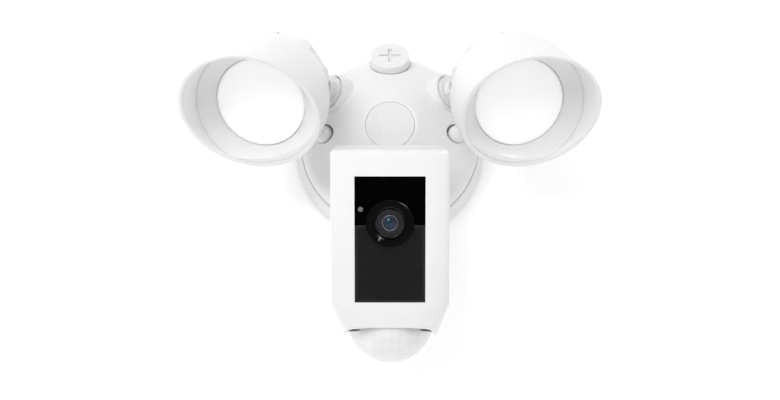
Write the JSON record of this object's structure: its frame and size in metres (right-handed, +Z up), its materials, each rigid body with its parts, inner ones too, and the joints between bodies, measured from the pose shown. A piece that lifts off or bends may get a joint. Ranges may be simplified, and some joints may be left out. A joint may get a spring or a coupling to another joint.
{
  "type": "floodlight security camera",
  "caption": "Wall-mounted floodlight camera: a round canopy with swivelling lamp heads and a hinged camera with a domed motion sensor.",
  "frame": {"origin": "centre of the cross bracket's face on the wall, on the canopy's axis", "axes": "+Z up, +Y into the wall, +X to the right seen from the front"},
  "size_m": [0.255, 0.1528, 0.224],
  "materials": {
    "canopy_white": "fine satin moulded plastic, ultraviolet-stable white",
    "cap_grey": "satin moulded disc, slightly greyer than the dome",
    "gasket_rubber": "matt foam and moulded rubber",
    "zinc_steel": "bright zinc plate",
    "brass_parts": "green-headed brass earthing screw",
    "painted_nuts": "smooth white powder coat",
    "electronics_plastic": "black moulded components",
    "circuit_board": "green solder mask on laminate",
    "painted_aluminium": "die casting with a fine white powder coat",
    "lamp_white": "fine satin moulded plastic",
    "reflector_white": "semi-gloss white moulding",
    "diffuser": "opal diffusing cover, smooth outside",
    "led_board": "metal-core board with white solder mask",
    "led_phosphor": "yellow phosphor under clear silicone",
    "camera_white": "fine satin moulded plastic",
    "face_black": "polished black, tinted for infrared",
    "grille_black": "black perforated sheet, satin",
    "lens_glass": "coated optical glass with a violet and teal sheen",
    "barrel_black": "matt black, ribbed inside",
    "bead_white": "milky light guide",
    "sensor_lens": "thin milky lens for infrared, satin",
    "button_grey": "satin moulded key"
  },
  "bodies": {
    "canopy": {"canopy_cover": "canopy_white", "canopy_base_ring": "canopy_white", "wall_gasket": "gasket_rubber", "centre_cap": "cap_grey", "cross_bracket": "zinc_steel", "mounting_studs": "zinc_steel", "earth_screw": "brass_parts", "cap_nuts": "painted_nuts", "closure_plug": "canopy_white", "plug_seal": "gasket_rubber", "led_driver": "electronics_plastic", "power_board": "circuit_board", "power_components": "electronics_plastic", "terminal_block": "electronics_plastic"},
    "left_arm": {"left_lamp_arm": "painted_aluminium", "left_arm_nut": "zinc_steel"},
    "left_lamp": {"left_lamp_housing": "lamp_white", "left_lamp_bezel": "reflector_white", "left_lamp_lens": "diffuser", "left_lens_seal": "gasket_rubber", "left_led_board": "led_board", "left_led_chips": "led_phosphor", "left_lamp_heat_sink": "painted_aluminium", "left_knuckle_bolt": "painted_nuts"},
    "right_arm": {"right_lamp_arm": "painted_aluminium", "right_arm_nut": "zinc_steel"},
    "right_lamp": {"right_lamp_housing": "lamp_white", "right_lamp_bezel": "reflector_white", "right_lamp_lens": "diffuser", "right_lens_seal": "gasket_rubber", "right_led_board": "led_board", "right_led_chips": "led_phosphor", "right_lamp_heat_sink": "painted_aluminium", "right_knuckle_bolt": "painted_nuts"},
    "camera_arm": {"camera_arm": "painted_aluminium", "camera_arm_nut": "zinc_steel", "tilt_pin": "zinc_steel"},
    "cross_block": {"cross_block": "zinc_steel"},
    "camera": {"camera_front_cover": "camera_white", "camera_rear_housing": "camera_white", "housing_seal": "gasket_rubber", "housing_screws": "zinc_steel", "face_panel": "face_black", "speaker_grille": "grille_black", "lens_bezel": "face_black", "lens_cover_glass": "lens_glass", "lens_barrel": "barrel_black", "lens_elements": "lens_glass", "image_sensor_board": "circuit_board", "light_sensor_bead": "bead_white", "infrared_emitters": "electronics_plastic", "speaker_driver": "electronics_plastic", "main_board": "circuit_board", "board_components": "electronics_plastic", "sensor_dome": "sensor_lens", "sensor_board": "circuit_board", "pyroelectric_sensors": "zinc_steel"},
    "setup_button": {"setup_button": "button_grey"}
  },
  "joints": [
    {"name": "left_arm_swivel", "type": "hinge", "parent": "canopy", "child": "left_arm", "pos_m": [-0.0408, -0.0372, 0.0292], "axis": [-0.7208, -0.6808, 0.1302], "range_deg": [-40, 40]},
    {"name": "left_lamp_tilt", "type": "hinge", "parent": "left_arm", "child": "left_lamp", "pos_m": [-0.05233, -0.04809, 0.03128], "axis": [0.6473, -0.594, 0.4777], "range_deg": [-35, 8]},
    {"name": "right_arm_swivel", "type": "hinge", "parent": "canopy", "child": "right_arm", "pos_m": [0.0408, -0.0372, 0.0292], "axis": [-0.7208, 0.6808, -0.1302], "range_deg": [-40, 40]},
    {"name": "right_lamp_tilt", "type": "hinge", "parent": "right_arm", "child": "right_lamp", "pos_m": [0.05233, -0.04809, 0.03128], "axis": [0.6473, 0.594, -0.4777], "range_deg": [-35, 8]},
    {"name": "camera_arm_swivel", "type": "hinge", "parent": "canopy", "child": "camera_arm", "pos_m": [0, -0.0415, -0.0525], "axis": [0, -0.9, -0.436], "range_deg": [-18, 18]},
    {"name": "camera_tilt", "type": "hinge", "parent": "camera_arm", "child": "cross_block", "pos_m": [0, -0.05095, -0.05708], "axis": [1, 0, 0], "range_deg": [-15, 15]},
    {"name": "camera_pan", "type": "hinge", "parent": "cross_block", "child": "camera", "pos_m": [0, -0.05095, -0.05708], "axis": [0, -0.3649, 0.9311], "range_deg": [-14, 14]},
    {"name": "button_press", "type": "slide", "parent": "camera", "child": "setup_button", "axis": [0, -0.9311, -0.3649], "range_m": [0, 0.001], "stiffness_N_per_m": 500}
  ]
}
